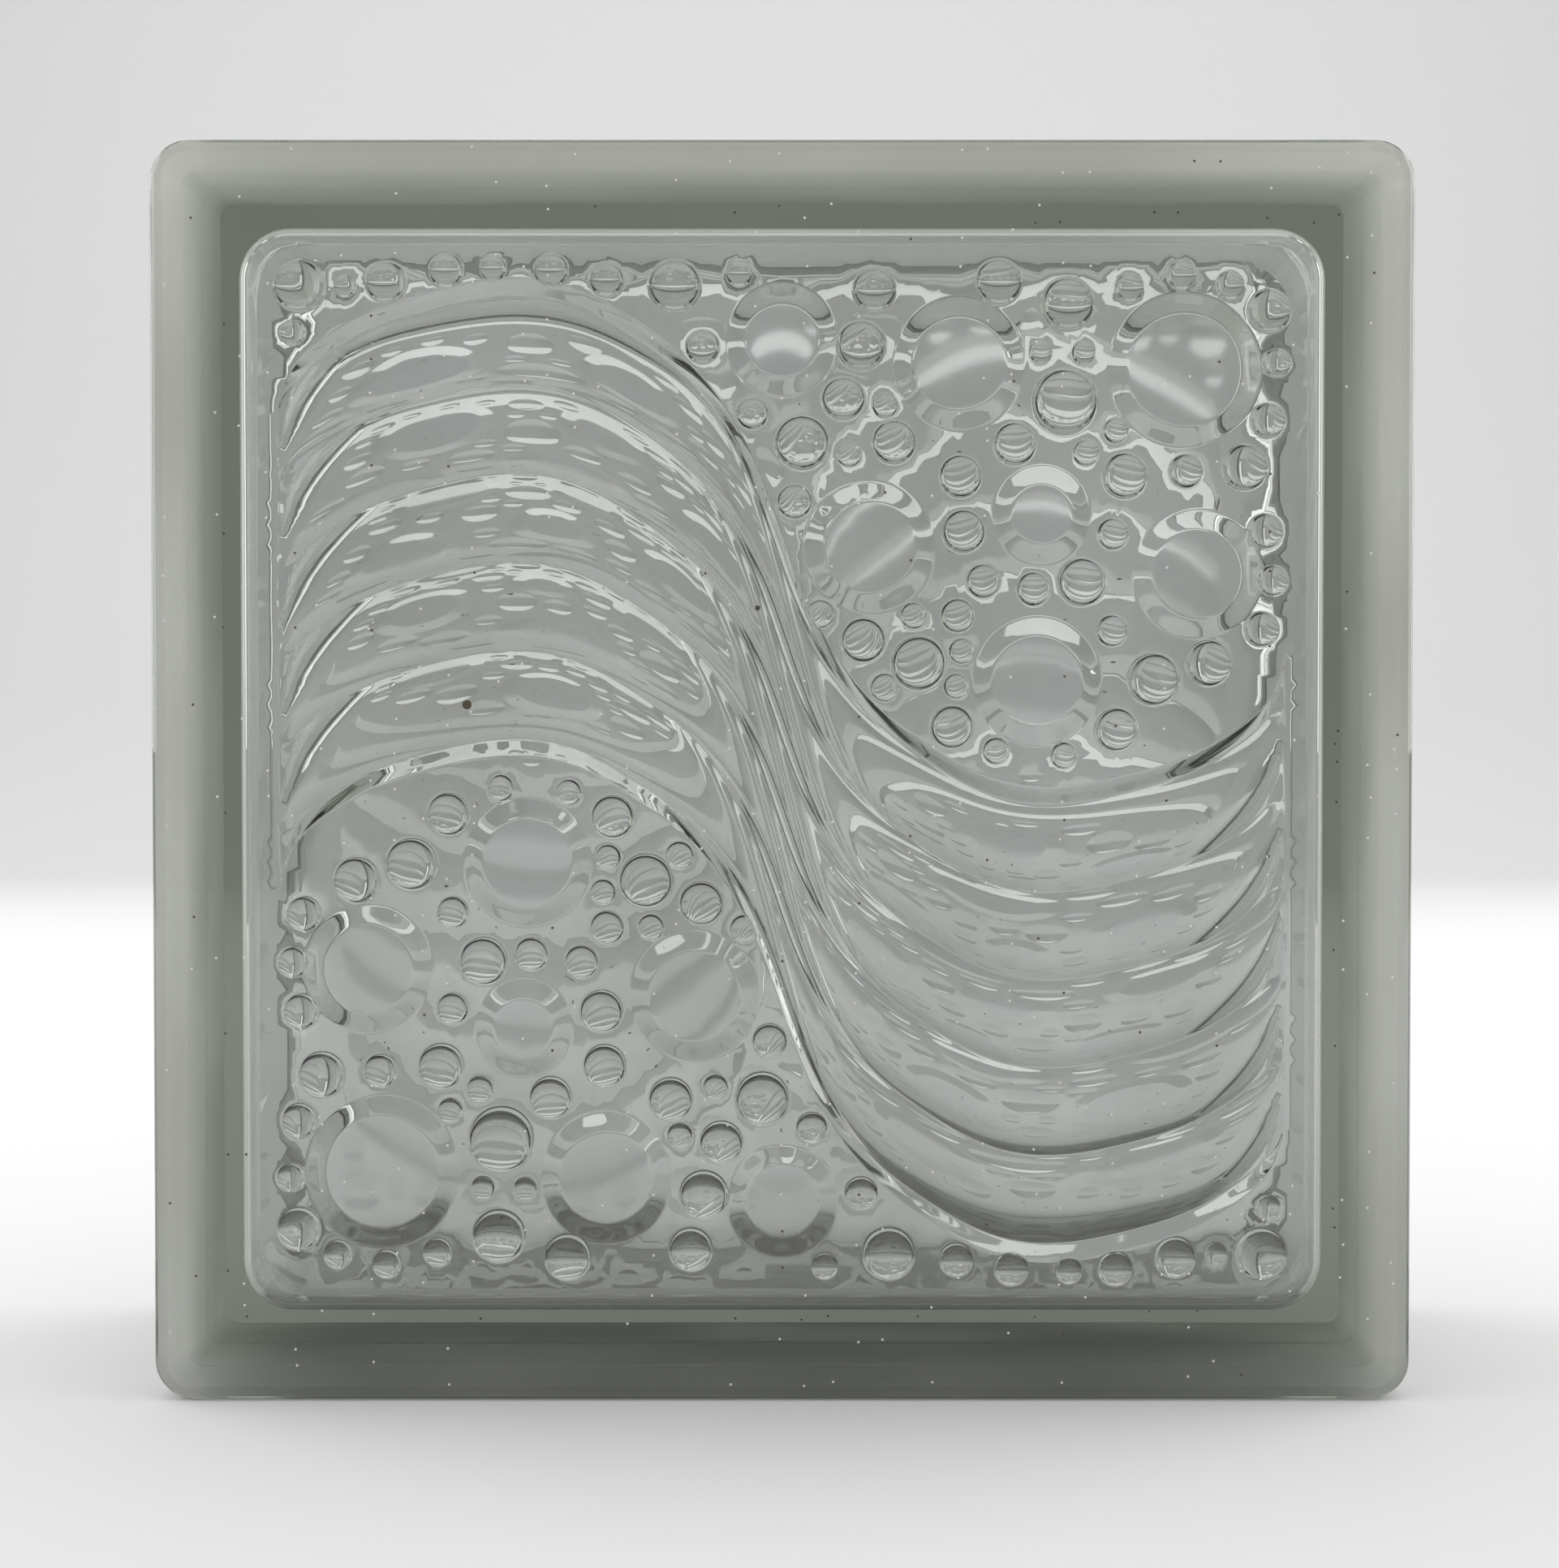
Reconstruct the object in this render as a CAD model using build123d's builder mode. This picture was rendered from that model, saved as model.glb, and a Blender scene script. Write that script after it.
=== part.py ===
import os
from math import radians, tan

from build123d import *

# Whole block, standing on one edge with its faces to the front and back
block_side = 190.0
block_depth = 80.0
corner_radius = 6.0
face_edge_radius = 2.5

# Mortar key, a shallow channel round the four edges between two full-size lips
lip_depth = 10.0
key_depth = 3.8
key_bevel_run = 4.0

# Bead of glass along the seam where the two pressed halves are fused
seam_bead_height = 0.8
seam_bead_width = 3.2

# Hollow pressed into each half
face_thickness = 8.0
wall_at_seam = 6.6
wall_draft = 4.4  # degrees
hollow_corner_radius = 10.0
floor_fillet_radius = 3.0

# Band of waves across the inner face: sharp ridges with flat-floored flutes between them
ridge_count = 6
ridge_pitch = 13.4
ridge_height = 1.9
flute_floor_height = 0.3
flute_floor_width = 5.6
band_flank_width = 2.6
band_root = 1.0
wave_rise = 38.5

# Larger flat-bottomed dishes on the inner face, above and below the band
dish_depth = 1.5
dish_rim_width = 3.0
cut_overrun = 0.5

# Half of the wave's line as shares of the field's half side and of the wave's rise
wave_shares = [
    (0.045, 0.25),
    (0.173, 0.66),
    (0.286, 0.84),
    (0.427, 0.98),
    (0.530, 1.00),
    (0.670, 0.95),
    (0.766, 0.89),
    (0.873, 0.77),
    (0.935, 0.65),
    (0.965, 0.48),
]

# Across, up and radius as shares of the field's half side, each with a twin half a turn round
dish_shares = [
    (0.338, 0.780, 0.089),
    (0.768, 0.768, 0.109),
    (0.168, 0.430, 0.088),
    (0.794, 0.378, 0.086),
    (0.488, 0.174, 0.086),
]

# Sizes that follow from the ones above
half_depth = block_depth / 2
key_side = block_side - 2 * key_depth
key_corner_radius = corner_radius - key_depth
hollow_depth = half_depth - face_thickness
hollow_side = key_side - 2 * wall_at_seam
floor_half = hollow_side / 2 - hollow_depth * tan(radians(wall_draft))
field_half = floor_half - floor_fillet_radius
band_half = (ridge_count - 1) * ridge_pitch / 2

# Planes seen from the front, with the first axis across and the second axis up
seam = Plane(origin=(0, 0, block_side / 2), x_dir=(1, 0, 0), z_dir=(0, -1, 0))
face = seam.offset(half_depth)
floor = seam.offset(hollow_depth)

# Line of the wave, the same to each side of the block's centre after half a turn
far_side = [Vector(x * field_half, -rise * wave_rise) for x, rise in wave_shares]
near_side = [Vector(-point.X, -point.Y) for point in reversed(far_side)]
wave_points = near_side + [Vector(0, 0)] + far_side
wave_start = floor.from_local_coords(wave_points[0])

# Waves: the section of ridges and flutes carried along the wave without turning
with BuildPart() as wave_band:
    with BuildLine(floor) as wave_line:
        Spline(*[(point.X, point.Y) for point in wave_points])
    with BuildSketch(Plane(origin=wave_start, x_dir=(0, 0, 1), z_dir=(-1, 0, 0))):
        with BuildLine():
            band_edge = band_half + band_flank_width
            outline = [(-band_edge, 0), (-band_edge, -band_root), (band_edge, -band_root), (band_edge, 0)]
            for ridge in range(ridge_count):
                crest = band_half - ridge * ridge_pitch
                outline.append((crest, ridge_height))
                if ridge < ridge_count - 1:
                    flute = crest - ridge_pitch / 2
                    outline.append((flute + flute_floor_width / 2, flute_floor_height))
                    outline.append((flute - flute_floor_width / 2, flute_floor_height))
            Polyline(*outline, close=True)
        make_face()
    sweep(path=wave_line.line, normal=(1, 0, 0))
    # The ridges run out in a slope at both ends of the band
    slope_top = ridge_height + cut_overrun
    slope_run = band_flank_width * slope_top / ridge_height
    with BuildSketch(Plane.XY.offset(block_side / 2)):
        for end in (wave_points[0].X, wave_points[-1].X):
            inward = -1 if end > 0 else 1
            with BuildLine():
                Polyline(
                    (end, -hollow_depth),
                    (end, slope_top - hollow_depth),
                    (end + inward * slope_run, slope_top - hollow_depth),
                    close=True,
                )
            make_face()
    extrude(amount=block_side / 2, both=True, mode=Mode.SUBTRACT)

# Dishes: flat bottoms with sloping rims, sunk into the glass
with BuildPart(floor) as dishes:
    for turn in (1, -1):
        for across, up, radius in dish_shares:
            dish_radius = radius * field_half
            mouth_radius = dish_radius + dish_rim_width * (1 + cut_overrun / dish_depth)
            with Locations((turn * across * field_half, turn * up * field_half, -cut_overrun)):
                Cone(
                    mouth_radius,
                    dish_radius,
                    dish_depth + cut_overrun,
                    align=(Align.CENTER, Align.CENTER, Align.MIN),
                )

# Press tool for the inside of one half: drafted walls, a rounded floor and the relief
with BuildPart() as plunger:
    with BuildSketch(seam):
        RectangleRounded(hollow_side, hollow_side, hollow_corner_radius)
    extrude(amount=hollow_depth)
    draft(plunger.faces().filter_by(Axis.Y, reverse=True), seam, wall_draft)
    fillet(plunger.faces().sort_by(Axis.Y)[0].edges(), floor_fillet_radius)
    add(wave_band.part, mode=Mode.SUBTRACT)
    add(dishes.part)

# One pressed half: lip, bevel and channel outside, hollow inside
with BuildPart() as pressed_half:
    with BuildSketch(face):
        RectangleRounded(block_side, block_side, corner_radius)
    extrude(amount=-lip_depth - key_bevel_run)
    fillet(pressed_half.faces().sort_by(Axis.Y)[0].edges(), face_edge_radius)
    lip_back = pressed_half.faces().sort_by(Axis.Y)[-1]
    chamfer(lip_back.edges(), key_depth, key_bevel_run, reference=lip_back)
    with BuildSketch(seam):
        RectangleRounded(key_side, key_side, key_corner_radius)
    extrude(amount=half_depth - lip_depth)
    with BuildSketch(seam):
        RectangleRounded(
            key_side + 2 * seam_bead_height,
            key_side + 2 * seam_bead_height,
            key_corner_radius + seam_bead_height,
        )
    extrude(amount=seam_bead_width / 2)
    add(plunger.part, mode=Mode.SUBTRACT)

# The block: two halves from the same press, one turned round, fused along the seam
with BuildPart() as glass_block:
    with PolarLocations(0, 2):
        add(pressed_half.part)

glass_block.part.label = "glass_block"
os.makedirs("parts", exist_ok=True)
export_step(glass_block.part, "parts/glass_block.step")
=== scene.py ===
import math

import bpy
import numpy as np
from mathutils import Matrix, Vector
from mathutils.geometry import delaunay_2d_cdt


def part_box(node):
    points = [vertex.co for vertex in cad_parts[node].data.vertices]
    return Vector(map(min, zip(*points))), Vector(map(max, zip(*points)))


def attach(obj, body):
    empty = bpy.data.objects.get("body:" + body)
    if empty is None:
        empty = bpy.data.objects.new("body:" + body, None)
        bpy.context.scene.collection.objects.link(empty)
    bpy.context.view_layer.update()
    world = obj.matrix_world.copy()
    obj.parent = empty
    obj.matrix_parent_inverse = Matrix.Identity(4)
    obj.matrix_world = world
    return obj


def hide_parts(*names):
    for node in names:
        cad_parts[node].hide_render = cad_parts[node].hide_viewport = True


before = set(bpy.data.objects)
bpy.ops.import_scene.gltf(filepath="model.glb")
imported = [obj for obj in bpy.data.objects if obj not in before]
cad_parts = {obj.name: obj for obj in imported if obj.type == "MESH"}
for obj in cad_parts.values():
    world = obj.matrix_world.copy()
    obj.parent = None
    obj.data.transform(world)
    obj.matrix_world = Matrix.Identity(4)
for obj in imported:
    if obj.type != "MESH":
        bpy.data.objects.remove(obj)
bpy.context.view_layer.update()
lowCorner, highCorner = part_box("glass_block")
mm = 0.001
tiny = 1e-6
mergeDistance = 1e-5  # millimetres
weldDigits = 4  # points that agree to this many digits of a millimetre are one point
print("frame loaded", [round(v, 4) for v in (*lowCorner, *highCorner)])

# the block's own sizes, in millimetres
block = {
    "side": (highCorner.x - lowCorner.x) / mm,
    "depth": (highCorner.y - lowCorner.y) / mm,
    "cornerRadius": 6.0,
    "faceEdgeRadius": 2.5,
    "lipDepth": 10.0,
    "lipEdgeRadius": 0.7,
    "keyDepth": 3.8,
    "keyBevelRun": 4.0,
    "keyFootRadius": 1.0,
    "seamBeadHeight": 0.8,
    "seamBeadWidth": 3.2,
    "seamBeadRadius": 0.7,
    "faceThickness": 8.0,
    "wallAtSeam": 6.6,
    "wallDraft": 4.4,  # degrees
    "hollowCornerRadius": 10.0,
    "floorFilletRadius": 3.0,
    "cornerSteps": 10,
    "sideSteps": 44,
    "faceStep": 10.0,  # between points on the flat outer faces
    "arcStep": 12.0,  # degrees between loops on a rounded edge
    "loopMargin": 0.1,  # flat strip between a rounding and the patch beside it
}

# waves, dishes and bubbles pressed into the inner face, in millimetres
relief = {
    "ridgeCount": 6,
    "ridgePitch": 13.4,
    "ridgeHeight": 1.9,
    "fluteFloor": 0.25,
    "fluteSteepness": 2.5,  # power of the flute's section, 2 is a parabola
    "flankWidth": 2.6,
    "waveRise": 38.5,
    "waveStep": 1.5,  # along the wave
    "dishDepth": 1.5,
    "dishRimWidth": 3.0,
    "satinInset": 0.25,  # the satin floor stops short of its rim
    "domeBall": 1.3,  # ball radius over the radius of the dome's foot
    "ringStep": 0.75,  # between points round a ring
    "ringPoints": (10, 72),  # fewest and most
    "domeRings": (0.25, 0.48, 0.68, 0.84, 0.94, 1.0, 1.06),  # shares of the dome's foot
    "creaseRings": (-0.35, -0.1, 0.1, 0.35),  # beside the inner and outer edge of a dish's rim
    "crestLines": (0.0, 0.14, 0.4, 1.0, 2.2, 3.6, 5.2),  # away from each crest
    "flankLines": (0.14, 0.4),  # down the flank from the outermost crests
    "footReach": 0.25,  # beside the flank's foot
    "endReach": 0.3,  # beside the top of the slope at the band's ends
    "edgeSoftness": 0.12,  # rounding where two forms meet
    "gridStep": 3.0,
    "gridInset": 1.0,
    "gridCornerCut": 4.0,
    "fadeBeyond": 0.2,  # the relief fades out over fadeWidth, to this far past the field
    "fadeWidth": 1.0,
    "slopeStep": 0.02,  # to each side, when slopes are taken
    "swell": 0.012,  # height of the faint swell left by the press
    "swellSeed": 7,
    "swellWaves": 9,
    "swellPitch": 0.45,
    "swellPhase": 6.3,
}

# half of the wave's line as shares of the field's half side and of the wave's rise
waveShares = [
    (0.045, 0.25), (0.173, 0.66), (0.286, 0.84), (0.427, 0.98), (0.530, 1.00),
    (0.670, 0.95), (0.766, 0.89), (0.873, 0.77), (0.935, 0.65), (0.965, 0.48),
]

# across, up and radius as shares of the field's half side, each with a twin half a turn round
dishShares = [
    (0.000, 0.825, 0.070), (0.338, 0.780, 0.089), (0.768, 0.768, 0.109), (0.168, 0.430, 0.088),
    (0.496, 0.492, 0.057), (0.794, 0.378, 0.086), (0.488, 0.174, 0.086),
]
domeShares = [
    (0.540, 0.707, 0.064), (0.038, 0.629, 0.053), (0.261, 0.208, 0.053), (-0.205, 0.928, 0.051),
    (0.545, 0.894, 0.051), (0.711, 0.177, 0.051), (-0.922, 0.928, 0.050), (0.151, 0.815, 0.048),
    (0.573, 0.363, 0.047), (0.413, 0.935, 0.045), (0.655, 0.566, 0.045), (0.885, 0.582, 0.045),
    (0.817, 0.208, 0.045), (0.214, 0.630, 0.043), (0.155, 0.252, 0.043), (0.176, 0.920, 0.042),
    (0.930, 0.880, 0.042), (0.117, 0.713, 0.042), (0.445, 0.627, 0.042), (0.341, 0.565, 0.042),
    (0.347, 0.460, 0.042), (0.325, 0.086, 0.042), (0.640, 0.081, 0.042), (-0.756, 0.935, 0.040),
    (-0.641, 0.957, 0.034), (-0.441, 0.957, 0.034), (0.929, 0.671, 0.034), (0.024, 0.517, 0.034),
    (0.924, 0.460, 0.034), (0.918, 0.273, 0.034), (-0.335, 0.940, 0.033), (-0.152, 0.812, 0.033),
    (0.772, 0.575, 0.033), (0.385, 0.365, 0.033), (0.481, 0.350, 0.033), (0.336, 0.299, 0.033),
    (-0.057, 0.685, 0.031), (0.633, 0.455, 0.031), (0.632, 0.270, 0.031), (0.939, 0.366, 0.030),
    (0.663, 0.925, 0.028), (0.761, 0.948, 0.028), (0.855, 0.929, 0.028), (0.945, 0.781, 0.028),
    (0.073, 0.302, 0.028), (0.197, 0.161, 0.028), (-0.552, 0.961, 0.026), (-0.082, 0.952, 0.026),
    (0.581, 0.610, 0.026), (0.252, 0.299, 0.026), (0.410, 0.040, 0.026), (0.540, 0.031, 0.026),
    (-0.935, 0.839, 0.025), (0.197, 0.700, 0.025), (0.128, 0.607, 0.025), (0.638, 0.652, 0.025),
    (0.344, 0.231, 0.025), (0.334, 0.164, 0.025), (0.494, 0.803, 0.023), (0.576, 0.801, 0.023),
    (-0.835, 0.928, 0.022),
]

halfSide = block["side"] / 2
halfDepth = block["depth"] / 2
keyHalf = halfSide - block["keyDepth"]
hollowHalf = keyHalf - block["wallAtSeam"]
hollowDepth = halfDepth - block["faceThickness"]
floorHalf = hollowHalf - hollowDepth * math.tan(math.radians(block["wallDraft"]))
fieldHalf = floorHalf - block["floorFilletRadius"]


# walls of the block, as loops of rounded squares along a profile

def roundedSquare(half, radius):
    points, outward = [], []
    straight = half - radius
    for quarter in range(4):
        start = quarter * math.pi / 2
        along = np.array([math.cos(start), math.sin(start)])
        across = np.array([-along[1], along[0]])
        for step in range(block["sideSteps"]):
            share = step / block["sideSteps"]
            points.append(along * half + across * straight * (2 * share - 1))
            outward.append(along)
        for step in range(block["cornerSteps"]):
            angle = start + math.pi / 2 * step / block["cornerSteps"]
            turned = np.array([math.cos(angle), math.sin(angle)])
            points.append((along + across) * straight + turned * radius)
            outward.append(turned)
    return np.array(points), np.array(outward)


def roundedProfile(corners, radii):
    # corners are (half, y); returns runs of (half, y, normal out, normal along y), smooth within a run
    points = [np.array(c, float) for c in corners]
    rows = []
    for i, point in enumerate(points):
        if i in (0, len(points) - 1):
            other = points[1] - point if i == 0 else point - points[-2]
            side = np.array([other[1], -other[0]]) / np.linalg.norm(other)
            rows.append((*point, *side))
            continue
        before = points[i] - points[i - 1]
        after = points[i + 1] - points[i]
        before /= np.linalg.norm(before)
        after /= np.linalg.norm(after)
        turn = math.atan2(before[0] * after[1] - before[1] * after[0], before @ after)
        reach = radii[i] * abs(math.tan(turn / 2))
        steps = max(2, math.ceil(math.degrees(abs(turn)) / block["arcStep"]))
        sideBefore = np.array([before[1], -before[0]])
        centre = point - before * reach - sideBefore * radii[i] * math.copysign(1, turn)
        for step in range(steps + 1):
            angle = turn * step / steps
            side = np.array([
                sideBefore[0] * math.cos(angle) - sideBefore[1] * math.sin(angle),
                sideBefore[0] * math.sin(angle) + sideBefore[1] * math.cos(angle),
            ])
            rows.append((*(centre + side * radii[i] * math.copysign(1, turn)), *side))
    return rows


def bridgedLoops(rows, radiusOffset, inward):
    # rows of a profile become rings of quads; inward turns the normals towards the hollow
    sign = -1 if inward else 1
    places, normals = [], []
    for half, y, normalOut, normalY in rows:
        ring, outward = roundedSquare(half, half - radiusOffset)
        places.append(np.column_stack([ring[:, 0], np.full(len(ring), y), ring[:, 1]]))
        normals.append(sign * np.column_stack([
            outward[:, 0] * normalOut,
            np.full(len(ring), normalY),
            outward[:, 1] * normalOut,
        ]))
    count = len(places[0])
    faces = []
    for i in range(len(rows) - 1):
        for j in range(count):
            k = (j + 1) % count
            faces.append((i * count + j, i * count + k, (i + 1) * count + k, (i + 1) * count + j))
    return np.vstack(places), np.vstack(normals), faces


# relief of the inner face

def twins(shares):
    return [
        (turn * x * fieldHalf, turn * z * fieldHalf, r * fieldHalf)
        for turn in (1, -1) for x, z, r in shares
    ]


dishes = twins(dishShares)
domes = twins(domeShares)
farSide = [(x * fieldHalf, -rise * relief["waveRise"]) for x, rise in waveShares]
waveKnots = np.array([(-x, -z) for x, z in reversed(farSide)] + [(0.0, 0.0)] + farSide)
bandHalf = (relief["ridgeCount"] - 1) * relief["ridgePitch"] / 2
bandEnd = waveKnots[-1, 0]


def smoothLine(knots, perSpan=40):
    # cubic through the knots, by chord length
    chord = np.concatenate([[0], np.cumsum(np.linalg.norm(np.diff(knots, axis=0), axis=1))])
    n = len(knots)
    system, right = np.eye(n), np.zeros((n, 2))
    gap = np.diff(chord)
    for i in range(1, n - 1):
        system[i, i - 1:i + 2] = gap[i - 1], 2 * (gap[i - 1] + gap[i]), gap[i]
        right[i] = 6 * ((knots[i + 1] - knots[i]) / gap[i] - (knots[i] - knots[i - 1]) / gap[i - 1])
    bend = np.linalg.solve(system, right)
    out = []
    for i in range(n - 1):
        for t in np.linspace(0, gap[i], perSpan, endpoint=False):
            a, b = gap[i] - t, t
            out.append(
                (bend[i] * a ** 3 + bend[i + 1] * b ** 3) / (6 * gap[i])
                + (knots[i] / gap[i] - bend[i] * gap[i] / 6) * a
                + (knots[i + 1] / gap[i] - bend[i + 1] * gap[i] / 6) * b
            )
    return np.array(out + [knots[-1]])


waveLine = smoothLine(waveKnots)


def waveAt(across):
    slope = (waveLine[-1, 1] - waveLine[-2, 1]) / (waveLine[-1, 0] - waveLine[-2, 0])
    beyond = np.abs(across) - bandEnd
    level = np.interp(across, waveLine[:, 0], waveLine[:, 1])
    return level + np.where(beyond > 0, beyond * slope * np.sign(across), 0)


def lower(a, b):
    return (a + b - np.sqrt((a - b) ** 2 + relief["edgeSoftness"] ** 2)) / 2


def upper(a, b):
    return (a + b + np.sqrt((a - b) ** 2 + relief["edgeSoftness"] ** 2)) / 2


def bandHeight(across, up):
    offset = up - waveAt(across)
    rise, fluteFloor = relief["ridgeHeight"], relief["fluteFloor"]
    steep = rise / relief["flankWidth"]
    height = lower(rise + (bandHalf - offset) * steep, rise + (bandHalf + offset) * steep)
    for flute in range(relief["ridgeCount"] - 1):
        middle = bandHalf - (flute + 0.5) * relief["ridgePitch"]
        share = np.abs(offset - middle) / (relief["ridgePitch"] / 2)
        height = lower(height, fluteFloor + (rise - fluteFloor) * share ** relief["fluteSteepness"])
    return lower(height, (bandEnd - np.abs(across)) * steep)


def swellHeight(across, up):
    waves = np.random.default_rng(relief["swellSeed"]).uniform(-1, 1, (relief["swellWaves"], 3))
    height = np.zeros_like(across)
    for x, z, phase in waves:
        height += np.sin((across * x + up * z) * relief["swellPitch"] + phase * relief["swellPhase"])
    return height * relief["swell"] / math.sqrt(relief["swellWaves"])


def reliefHeight(across, up):
    height = upper(bandHeight(across, up), np.zeros_like(across))
    for x, z, foot in domes:
        near = np.hypot(across - x, up - z)
        ball = foot * relief["domeBall"]
        dome = np.sqrt(np.maximum(ball ** 2 - near ** 2, 0)) - math.sqrt(ball ** 2 - foot ** 2)
        height = np.where(near < ball, upper(height, dome), height)
    for x, z, radius in dishes:
        beyond = np.hypot(across - x, up - z) - radius
        slope = beyond * relief["dishDepth"] / relief["dishRimWidth"] - relief["dishDepth"]
        sunk = upper(lower(slope, np.zeros_like(slope)), np.full_like(slope, -relief["dishDepth"]))
        height = height + np.where(beyond < 2 * relief["dishRimWidth"], sunk, 0)
    return height + swellHeight(across, up)


def reliefLayout(border):
    points, edges = [], []

    def addLine(line, closed):
        first = len(points)
        points.extend(Vector(p) for p in line)
        edges.extend((first + i, first + i + 1) for i in range(len(line) - 1))
        if closed:
            edges.append((len(points) - 1, first))

    def addRing(x, z, radius):
        count = int(np.clip(2 * math.pi * radius / relief["ringStep"], *relief["ringPoints"]))
        turns = np.linspace(0, 2 * math.pi, count, endpoint=False)
        addLine([(x + radius * math.cos(t), z + radius * math.sin(t)) for t in turns], True)

    addLine(border, True)
    for x, z, foot in domes:
        points.append(Vector((x, z)))
        for share in relief["domeRings"]:
            addRing(x, z, foot * share)
    rim, creases = relief["dishRimWidth"], relief["creaseRings"]
    for x, z, radius in dishes:
        for reach in (*creases, rim / 2, *(rim + crease for crease in creases)):
            addRing(x, z, radius + reach)
    length = np.concatenate([[0], np.cumsum(np.linalg.norm(np.diff(waveLine, axis=0), axis=1))])
    stations = np.linspace(0, length[-1], int(length[-1] / relief["waveStep"]))
    columns = np.interp(stations, length, waveLine[:, 0])
    flank = relief["flankWidth"]
    slopeTop, nearTop = bandEnd - flank, relief["endReach"]
    ends = [slopeTop, slopeTop - nearTop, slopeTop + nearTop, bandEnd - flank / 2]
    columns = np.unique(np.concatenate([columns, ends, [-e for e in ends]]).round(weldDigits))
    offsets = {0.0}
    for ridge in range(relief["ridgeCount"]):
        crest = bandHalf - ridge * relief["ridgePitch"]
        for reach in relief["crestLines"]:
            if crest - reach > -bandHalf - tiny:
                offsets.add(round(crest - reach, weldDigits))
            if crest + reach < bandHalf + tiny:
                offsets.add(round(crest + reach, weldDigits))
    nearFoot = relief["footReach"]
    for reach in (*relief["flankLines"], flank / 2, flank - nearFoot, flank, flank + nearFoot):
        offsets.update((round(bandHalf + reach, weldDigits), round(-bandHalf - reach, weldDigits)))
    for offset in sorted(offsets):
        addLine(np.column_stack([columns, waveAt(columns) + offset]), False)
    limit = np.abs(border).max() - relief["gridInset"]
    grid = np.arange(-limit, limit, relief["gridStep"])
    cornerCut = 2 * limit - relief["gridCornerCut"]
    points.extend(Vector((x, z)) for x in grid for z in grid if abs(x) + abs(z) < cornerCut)
    return points, edges


def reliefPatch(border):
    points, edges = reliefLayout(border)
    corners, _, triangles, origins = delaunay_2d_cdt(points, edges, [], 0, mergeDistance)[:4]
    flat = np.array([(c.x, c.y) for c in corners])
    # the relief runs out towards the border
    fade = np.clip((fieldHalf + relief["fadeBeyond"] - np.abs(flat).max(axis=1)) / relief["fadeWidth"], 0, 1)
    for i, sources in enumerate(origins):
        if min(sources, default=len(border)) < len(border):  # the border meets the wall exactly
            flat[i] = border[min(sources)]
            fade[i] = 0
    across, up = flat[:, 0], flat[:, 1]
    height = reliefHeight(across, up) * fade
    step = relief["slopeStep"]
    slopeAcross = (reliefHeight(across + step, up) - reliefHeight(across - step, up)) / (2 * step) * fade
    slopeUp = (reliefHeight(across, up + step) - reliefHeight(across, up - step)) / (2 * step) * fade
    places = np.column_stack([across, height - hollowDepth, up])
    normals = np.column_stack([-slopeAcross, np.ones(len(flat)), -slopeUp])
    normals /= np.linalg.norm(normals, axis=1)[:, None]
    return places, normals, [tuple(t) for t in triangles]


# one pressed half in front, then the same half turned round behind it

def facePatch(border):
    # the flat outer face, with points inside so that no triangle is long and thin
    points = [Vector(p) for p in border]
    edges = [(i, (i + 1) % len(border)) for i in range(len(border))]
    limit = np.abs(border).max() - block["faceStep"] / 2
    grid = np.linspace(-limit, limit, int(2 * limit / block["faceStep"]))
    points.extend(Vector((x, z)) for x in grid for z in grid)
    corners, _, triangles = delaunay_2d_cdt(points, edges, [], 0, mergeDistance)[:3]
    flat = np.array([(c.x, c.y) for c in corners])
    places = np.column_stack([flat[:, 0], np.full(len(flat), -halfDepth), flat[:, 1]])
    return places, np.tile([0.0, -1.0, 0.0], (len(flat), 1)), [tuple(t) for t in triangles]


def pressedHalf():
    bead = block["seamBeadHeight"]
    beadHalf = block["seamBeadWidth"] / 2
    lipEnd = block["lipDepth"] - halfDepth
    cornerOffset = halfSide - block["cornerRadius"]
    shell = roundedProfile(
        [
            (halfSide - block["faceEdgeRadius"] - block["loopMargin"], -halfDepth),
            (halfSide, -halfDepth),
            (halfSide, lipEnd - block["lipEdgeRadius"]),
        ],
        [0, block["faceEdgeRadius"], 0],
    )
    beadRadius = block["seamBeadRadius"]
    key = roundedProfile(
        [
            (halfSide, lipEnd - block["lipEdgeRadius"]),
            (halfSide, lipEnd),
            (keyHalf, lipEnd + block["keyBevelRun"]),
            (keyHalf, -beadHalf),
            (keyHalf + bead, -beadHalf + bead),
            (keyHalf + bead, 0),
        ],
        [0, block["lipEdgeRadius"], block["keyFootRadius"], beadRadius, beadRadius, 0],
    )
    hollow = roundedProfile(
        [(fieldHalf + block["loopMargin"], -hollowDepth), (floorHalf, -hollowDepth), (hollowHalf, 0)],
        [0, block["floorFilletRadius"], 0],
    )
    hollowOffset = hollowHalf - block["hollowCornerRadius"]
    border = roundedSquare(hollow[0][0], hollow[0][0] - hollowOffset)[0]
    faceBorder = roundedSquare(shell[0][0], shell[0][0] - cornerOffset)[0]
    # the last value of each is 1 where the coat is
    return [
        (*bridgedLoops(shell, cornerOffset, False), 0),
        (*bridgedLoops(key, cornerOffset, False), 1),
        (*bridgedLoops(hollow, hollowOffset, True), 0),
        (*reliefPatch(border), 0),
        (*facePatch(faceBorder), 0),
    ]


def satinShare(middles):
    # 1 on the floors of the dishes, which lie deeper than the field and well short of the outer face
    inside = np.abs(middles[:, 1])
    share = np.zeros(len(middles))
    outerHalf = halfDepth - block["faceThickness"] / 2
    deep = (inside > hollowDepth + relief["dishDepth"] / 2) & (inside < outerHalf)
    for x, z, radius in dishes:
        for turn in (-1, 1):
            near = np.hypot(middles[:, 0] * turn - x, middles[:, 2] - z) < radius - relief["satinInset"]
            share[deep & near & (middles[:, 1] * turn < 0)] = 1.0
    return share


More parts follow.
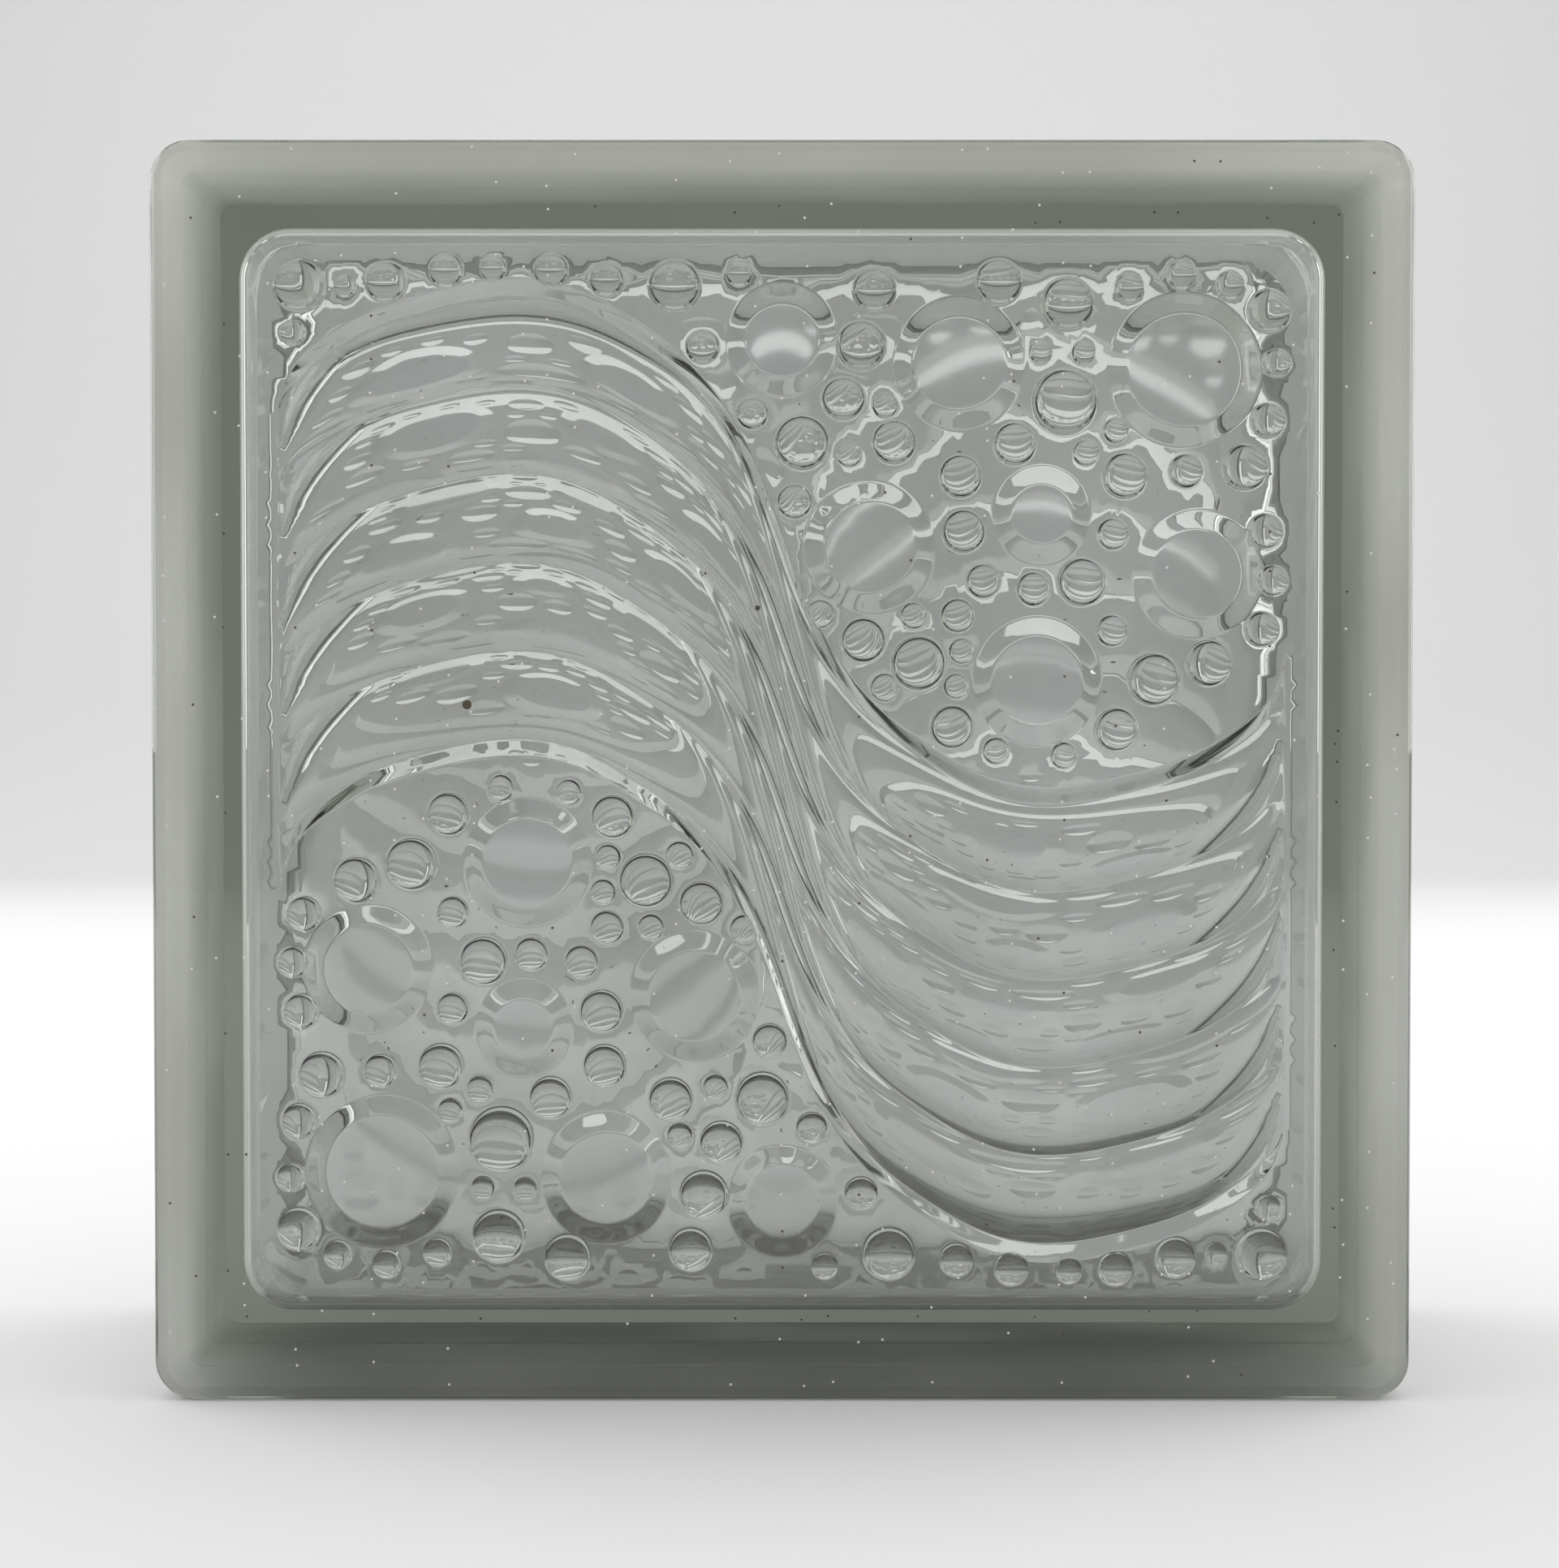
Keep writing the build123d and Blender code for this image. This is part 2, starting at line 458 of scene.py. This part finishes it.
def weldedMesh(name, patches):
    index, places, faces, cornerNormals, slots = {}, [], [], [], []
    for spots, normals, polygons, slot in patches:
        here = []
        for spot in spots.round(weldDigits):
            key = tuple(spot + 0.0)
            if key not in index:
                index[key] = len(places)
                places.append(key)
            here.append(index[key])
        # the polygons of a patch all run the same way round, so they are turned together
        firsts = np.array([polygon[:3] for polygon in polygons])
        a, b, c = (spots[firsts[:, i]] for i in (0, 1, 2))
        outward = (np.cross(b - a, c - a) * normals[firsts].sum(axis=1)).sum()
        for polygon in polygons:
            order = polygon if outward >= 0 else polygon[::-1]
            corners = [here[i] for i in order]
            if len(set(corners)) < len(corners):
                continue
            faces.append(corners)
            cornerNormals.extend(normals[i] for i in order)
            slots.append(slot)
    heightOffset = np.array([0, 0, halfSide])
    mesh = bpy.data.meshes.new(name)
    mesh.from_pydata(((np.array(places) + heightOffset) * mm).tolist(), [], faces)
    mesh.polygons.foreach_set("use_smooth", [True] * len(faces))
    middles = np.array([np.mean([places[i] for i in corners], axis=0) for corners in faces])
    coated = mesh.attributes.new("coated", "FLOAT", "FACE")
    coated.data.foreach_set("value", [float(slot) for slot in slots])
    satin = mesh.attributes.new("satin", "FLOAT", "FACE")
    satin.data.foreach_set("value", satinShare(middles))
    mesh.normals_split_custom_set([tuple(n) for n in cornerNormals])
    mesh.update()
    return mesh


front = pressedHalf()
turned = np.array([-1.0, -1.0, 1.0])
back = [(spots * turned, normals * turned, polygons, slot) for spots, normals, polygons, slot in front]
glassMesh = weldedMesh("glassBlock", front + back)
glassBlock = bpy.data.objects.new("glassBlock", glassMesh)
bpy.context.scene.collection.objects.link(glassBlock)
triangles = sum(len(p.vertices) - 2 for p in glassMesh.polygons)
print("glass block meshed", len(glassMesh.vertices), "points", triangles, "triangles")


# materials

def newMaterial(name):
    material = bpy.data.materials.new(name)
    material.use_nodes = True
    nodes = material.node_tree.nodes
    nodes.clear()
    output = nodes.new("ShaderNodeOutputMaterial")
    return material, nodes, material.node_tree.links, output


def newGroup(name, takes, gives):
    group = bpy.data.node_groups.new(name, "ShaderNodeTree")
    for socketName, kind in takes:
        group.interface.new_socket(socketName, in_out="INPUT", socket_type=kind)
    for socketName, kind in gives:
        group.interface.new_socket(socketName, in_out="OUTPUT", socket_type=kind)
    start = group.nodes.new("NodeGroupInput")
    end = group.nodes.new("NodeGroupOutput")
    return group, start.outputs, end.inputs


def feed(tree, socket, value):
    # a socket takes a link or a plain value
    if isinstance(value, bpy.types.NodeSocket):
        tree.links.new(value, socket)
    else:
        socket.default_value = value


def maths(tree, operation, *values):
    node = tree.nodes.new("ShaderNodeMath")
    node.operation = operation
    for socket, value in zip(node.inputs, values):
        feed(tree, socket, value)
    return node.outputs[0]


def blend(tree, share, first, second):
    node = tree.nodes.new("ShaderNodeMix")
    node.data_type = "RGBA"
    feed(tree, node.inputs[0], share)
    feed(tree, node.inputs[6], first)
    feed(tree, node.inputs[7], second)
    return node.outputs[2]


def ramp(tree, value, low, high, toLow, toHigh):
    node = tree.nodes.new("ShaderNodeMapRange")
    for socket, number in zip(node.inputs, (value, low, high, toLow, toHigh)):
        feed(tree, socket, number)
    return node.outputs[0]


def noise(tree, place, scale):
    node = tree.nodes.new("ShaderNodeTexNoise")
    feed(tree, node.inputs["Vector"], place)
    node.inputs["Scale"].default_value = scale
    node.inputs["Detail"].default_value = 0.0  # one octave, which renders faster
    return node.outputs[0]


glassLook = {
    "ior": 1.52,
    "absorption": (0.71, 0.735, 0.695, 1.0),
    "density": 60.0,  # per metre
    "filmThin": (0.75, 0.755, 0.755, 1.0),  # clean and dusty film on the glass
    "filmThick": (0.70, 0.705, 0.70, 1.0),
    "filmScale": 30.0,
    "cloudSpread": (0.36, 0.64),  # noise at which the film is thinnest and thickest
    "smudgeFrom": 0.92,  # smudges only where the film is thickest
    "smudgeRoughness": 0.05,
    "satinRoughness": 0.14,  # floors of the dishes
    "satinTint": (0.66, 0.667, 0.67, 1.0),
    "waveScale": 38.0,  # waviness of the pressed faces
    "waveHeight": 0.00002,
}
coatLook = {
    "tintPale": (0.98, 0.98, 0.955, 1.0),  # light that gets through the coat
    "tintDull": (0.90, 0.905, 0.87, 1.0),
    "roughness": (0.42, 0.62),
    "hides": 0.7,  # the most that the coat covers
    "through": 0.62,  # of that, the share that lets scattered light through
    "pale": (0.90, 0.90, 0.86, 1.0),
    "dull": (0.76, 0.77, 0.72, 1.0),
}
# loose dust and dirt on the two outer faces, places in metres
dirtLook = {
    "faceAt": halfDepth * mm - 0.0004,
    "scale": 260.0,
    "reach": 0.05,  # share of a cell
    "dustFrom": 0.84,  # cells above this share hold dust, below the other one dirt
    "dirtBelow": 0.02,
    "dust": (0.80, 0.80, 0.77, 1.0),
    "dirt": (0.10, 0.085, 0.06, 1.0),
    "roughness": 0.9,
    "spots": [((-0.0473, -0.04, 0.1052), 0.0007), ((-0.0037, -0.04, 0.1197), 0.0004)],
}


def glassTone():
    tree, takes, gives = newGroup(
        "glassTone",
        [(name, "NodeSocketFloat") for name in ("Cloud", "Coated", "Satin", "Outside")],
        [("Tint", "NodeSocketColor"), ("Roughness", "NodeSocketFloat")],
    )
    clear = blend(tree, takes["Cloud"], glassLook["filmThin"], glassLook["filmThick"])
    coat = blend(tree, takes["Cloud"], coatLook["tintPale"], coatLook["tintDull"])
    clear = blend(tree, takes["Satin"], clear, glassLook["satinTint"])
    tree.links.new(blend(tree, takes["Coated"], clear, coat), gives["Tint"])
    smudge = ramp(tree, takes["Cloud"], glassLook["smudgeFrom"], 1.0, 0.0, glassLook["smudgeRoughness"])
    smudge = maths(tree, "MULTIPLY", takes["Outside"], smudge)  # the inside is sealed and stays clean
    matt = ramp(tree, takes["Cloud"], 0.0, 1.0, *coatLook["roughness"])
    rough = maths(tree, "MULTIPLY_ADD", takes["Coated"], matt, smudge)
    rough = maths(tree, "MULTIPLY_ADD", takes["Satin"], glassLook["satinRoughness"], rough)
    tree.links.new(rough, gives["Roughness"])
    return tree


def pressedSurface():
    tree, takes, gives = newGroup(
        "pressedSurface",
        [("Place", "NodeSocketVector")],
        [("Normal", "NodeSocketVector")],
    )
    bump = tree.nodes.new("ShaderNodeBump")
    bump.inputs["Distance"].default_value = glassLook["waveHeight"]
    tree.links.new(noise(tree, takes["Place"], glassLook["waveScale"]), bump.inputs["Height"])
    tree.links.new(bump.outputs["Normal"], gives["Normal"])
    return tree


def looseDirt(tree, place):
    # where the outer faces are, where specks lie on them, and the specks' colour
    split = tree.nodes.new("ShaderNodeSeparateXYZ")
    tree.links.new(place, split.inputs[0])
    flat = tree.nodes.new("ShaderNodeCombineXYZ")
    tree.links.new(split.outputs["X"], flat.inputs["X"])
    tree.links.new(split.outputs["Z"], flat.inputs["Y"])
    cells = tree.nodes.new("ShaderNodeTexVoronoi")
    cells.voronoi_dimensions = "2D"
    tree.links.new(flat.outputs[0], cells.inputs["Vector"])
    cells.inputs["Scale"].default_value = dirtLook["scale"]
    near = maths(tree, "LESS_THAN", cells.outputs["Distance"], dirtLook["reach"])
    pick = tree.nodes.new("ShaderNodeSeparateColor")
    tree.links.new(cells.outputs["Color"], pick.inputs[0])
    dust = maths(tree, "MULTIPLY", near, maths(tree, "GREATER_THAN", pick.outputs[0], dirtLook["dustFrom"]))
    dirt = maths(tree, "MULTIPLY", near, maths(tree, "LESS_THAN", pick.outputs[0], dirtLook["dirtBelow"]))
    for centre, radius in dirtLook["spots"]:
        away = tree.nodes.new("ShaderNodeVectorMath")
        away.operation = "DISTANCE"
        tree.links.new(place, away.inputs[0])
        away.inputs[1].default_value = centre
        dirt = maths(tree, "MAXIMUM", dirt, maths(tree, "LESS_THAN", away.outputs["Value"], radius))
    outside = maths(tree, "GREATER_THAN", maths(tree, "ABSOLUTE", split.outputs["Y"]), dirtLook["faceAt"])
    specks = maths(tree, "MAXIMUM", dust, dirt)
    return outside, specks, blend(tree, dirt, dirtLook["dust"], dirtLook["dirt"])


def pressedGlass():
    material, nodes, links, output = newMaterial("pressedGlass")
    tree = material.node_tree
    place = nodes.new("ShaderNodeTexCoord").outputs["Object"]
    wired = {"Place": place}
    for name in ("Coated", "Satin"):
        mask = nodes.new("ShaderNodeAttribute")
        mask.attribute_name = name.lower()
        wired[name] = mask.outputs["Fac"]
    cloud = noise(tree, place, glassLook["filmScale"])
    wired["Cloud"] = ramp(tree, cloud, *glassLook["cloudSpread"], 0.0, 1.0)

    def useGroup(group):
        node = nodes.new("ShaderNodeGroup")
        node.node_tree = group
        for socket in node.inputs:
            links.new(wired[socket.name], socket)
        return node.outputs

    def mixShaders(share, first, second):
        node = nodes.new("ShaderNodeMixShader")
        feed(tree, node.inputs[0], share)
        links.new(first, node.inputs[1])
        links.new(second, node.inputs[2])
        return node.outputs[0]

    wired["Outside"], specks, speckColor = looseDirt(tree, place)
    tone = useGroup(glassTone())
    surface = useGroup(pressedSurface())
    glass = nodes.new("ShaderNodeBsdfPrincipled")
    glass.inputs["IOR"].default_value = glassLook["ior"]
    glass.inputs["Transmission Weight"].default_value = 1.0
    links.new(tone["Tint"], glass.inputs["Base Color"])
    links.new(tone["Roughness"], glass.inputs["Roughness"])
    links.new(surface["Normal"], glass.inputs["Normal"])

    # thin paint on the edges, which scatters light both ways
    coatColor = blend(tree, wired["Cloud"], coatLook["pale"], coatLook["dull"])
    paint = nodes.new("ShaderNodeBsdfPrincipled")
    links.new(coatColor, paint.inputs["Base Color"])
    links.new(tone["Roughness"], paint.inputs["Roughness"])
    links.new(surface["Normal"], paint.inputs["Normal"])
    through = nodes.new("ShaderNodeBsdfTranslucent")
    links.new(coatColor, through.inputs["Color"])
    coat = mixShaders(coatLook["through"], paint.outputs["BSDF"], through.outputs["BSDF"])
    hidden = maths(tree, "MULTIPLY", wired["Coated"], coatLook["hides"])
    coatedGlass = mixShaders(hidden, glass.outputs["BSDF"], coat)

    dust = nodes.new("ShaderNodeBsdfPrincipled")
    dust.inputs["Roughness"].default_value = dirtLook["roughness"]
    links.new(speckColor, dust.inputs["Base Color"])
    dustyGlass = mixShaders(specks, glass.outputs["BSDF"], dust.outputs["BSDF"])

    absorb = nodes.new("ShaderNodeVolumeAbsorption")
    absorb.inputs["Color"].default_value = glassLook["absorption"]
    absorb.inputs["Density"].default_value = glassLook["density"]
    links.new(mixShaders(wired["Outside"], coatedGlass, dustyGlass), output.inputs["Surface"])
    links.new(absorb.outputs["Volume"], output.inputs["Volume"])
    return material


glassMesh.materials.append(pressedGlass())
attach(glassBlock, "root")
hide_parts("glass_block")
print("materials done")


# studio: a pale sweep, a dim room and soft lamps

studio = {
    "sweepHalfWidth": 1.1,
    "sweepFront": -1.3,
    "sweepBack": 1.7,
    "sweepHeight": 1.3,
    "sweepBend": 0.35,
    "bendSteps": 12,
    "sweepColor": (0.8, 0.8, 0.8, 1.0),
    "sweepRoughness": 0.9,
    "glowColor": (1.0, 1.0, 1.0, 1.0),
    "paleGlow": 0.08,  # the same for the camera, reflections and the view through the glass
    "roomColor": (0.62, 0.62, 0.62, 1.0),
    "roomStrength": 1.0,
}


def sweepMesh():
    rows = [(studio["sweepFront"], 0.0)]
    bend = studio["sweepBend"]
    for step in range(studio["bendSteps"] + 1):
        angle = math.pi / 2 * step / studio["bendSteps"]
        rows.append((studio["sweepBack"] - bend + bend * math.sin(angle), bend - bend * math.cos(angle)))
    rows.append((studio["sweepBack"], studio["sweepHeight"]))
    half = studio["sweepHalfWidth"]
    places = [(x, y, z) for y, z in rows for x in (-half, half)]
    faces = [(2 * i, 2 * i + 1, 2 * i + 3, 2 * i + 2) for i in range(len(rows) - 1)]
    mesh = bpy.data.meshes.new("paleSweep")
    mesh.from_pydata(places, [], faces)
    mesh.polygons.foreach_set("use_smooth", [True] * len(faces))
    return mesh


def paleFinish():
    material, nodes, links, output = newMaterial("palePaper")
    tree = material.node_tree
    rays = nodes.new("ShaderNodeLightPath").outputs
    seen = rays["Is Camera Ray"]
    for kind in ("Is Glossy Ray", "Is Transmission Ray"):
        seen = maths(tree, "MAXIMUM", seen, rays[kind])
    shader = nodes.new("ShaderNodeBsdfPrincipled")
    shader.inputs["Base Color"].default_value = studio["sweepColor"]
    shader.inputs["Roughness"].default_value = studio["sweepRoughness"]
    shader.inputs["Specular IOR Level"].default_value = 0.0  # matt paper
    shader.inputs["Emission Color"].default_value = studio["glowColor"]
    links.new(maths(tree, "MULTIPLY", seen, studio["paleGlow"]), shader.inputs["Emission Strength"])
    links.new(shader.outputs["BSDF"], output.inputs["Surface"])
    material.cycles.emission_sampling = "NONE"  # the glow lights nothing
    return material


sweep = bpy.data.objects.new("paleSweep", sweepMesh())
bpy.context.scene.collection.objects.link(sweep)
sweep.data.materials.append(paleFinish())

world = bpy.data.worlds.new("studioRoom")
bpy.context.scene.world = world
world.use_nodes = True
room = world.node_tree.nodes["Background"]
room.inputs["Color"].default_value = studio["roomColor"]
room.inputs["Strength"].default_value = studio["roomStrength"]

lamps = {
    "topSoftbox": {"at": (0.0, 0.1, 1.15), "aim": (0, 0.1, 0), "size": (1.5, 1.4), "watts": 3.0},
    "rearSoftbox": {"at": (0.0, 1.3, 0.72), "aim": (0, 0, 0.1), "size": (1.6, 0.5), "watts": 2.4},
    "leftSoftbox": {"at": (-1.05, 0.4, 0.5), "aim": (0, 0, 0.1), "size": (1.2, 0.9), "watts": 7.0},
    "rightSoftbox": {"at": (1.05, 0.4, 0.5), "aim": (0, 0, 0.1), "size": (1.2, 0.9), "watts": 7.0},
}
for name, lamp in lamps.items():
    data = bpy.data.lights.new(name, "AREA")
    data.shape = "RECTANGLE"
    data.size, data.size_y = lamp["size"]
    data.energy = lamp["watts"]
    lampObject = bpy.data.objects.new(name, data)
    lampObject.location = lamp["at"]
    lampObject.visible_camera = False
    aim = Vector(lamp["aim"]) - Vector(lamp["at"])
    lampObject.rotation_euler = aim.to_track_quat("-Z", "Y").to_euler()
    bpy.context.scene.collection.objects.link(lampObject)
print("studio lit")


# camera, at the photograph's angle

view = {
    "aim": (-0.0004, -0.040, 0.0933),
    "distance": 0.490,
    "elevation": 1.6,  # degrees
    "frameWidth": 0.2341,  # at the front face
    "sensor": 36.0,
    "nearest": 0.01,
}
cameraData = bpy.data.cameras.new("photoCamera")
cameraData.sensor_fit = "HORIZONTAL"
cameraData.sensor_width = view["sensor"]
cameraData.lens = view["sensor"] * view["distance"] / view["frameWidth"]
cameraData.clip_start = view["nearest"]
camera = bpy.data.objects.new("photoCamera", cameraData)
lift = math.radians(view["elevation"])
toCamera = Vector((0, -math.cos(lift), math.sin(lift))) * view["distance"]
camera.location = Vector(view["aim"]) + toCamera
camera.rotation_euler = (-toCamera).to_track_quat("-Z", "Y").to_euler()
bpy.context.scene.collection.objects.link(camera)
bpy.context.scene.camera = camera

scene = bpy.context.scene
scene.view_settings.view_transform = "Standard"
scene.cycles.max_bounces = 10
scene.cycles.transmission_bounces = 10
scene.cycles.glossy_bounces = 4
scene.cycles.diffuse_bounces = 1
scene.cycles.caustics_refractive = True
scene.cycles.caustics_reflective = False
scene.cycles.sample_clamp_indirect = 6.0
scene.cycles.use_light_tree = False  # four lamps of much the same strength, and quicker
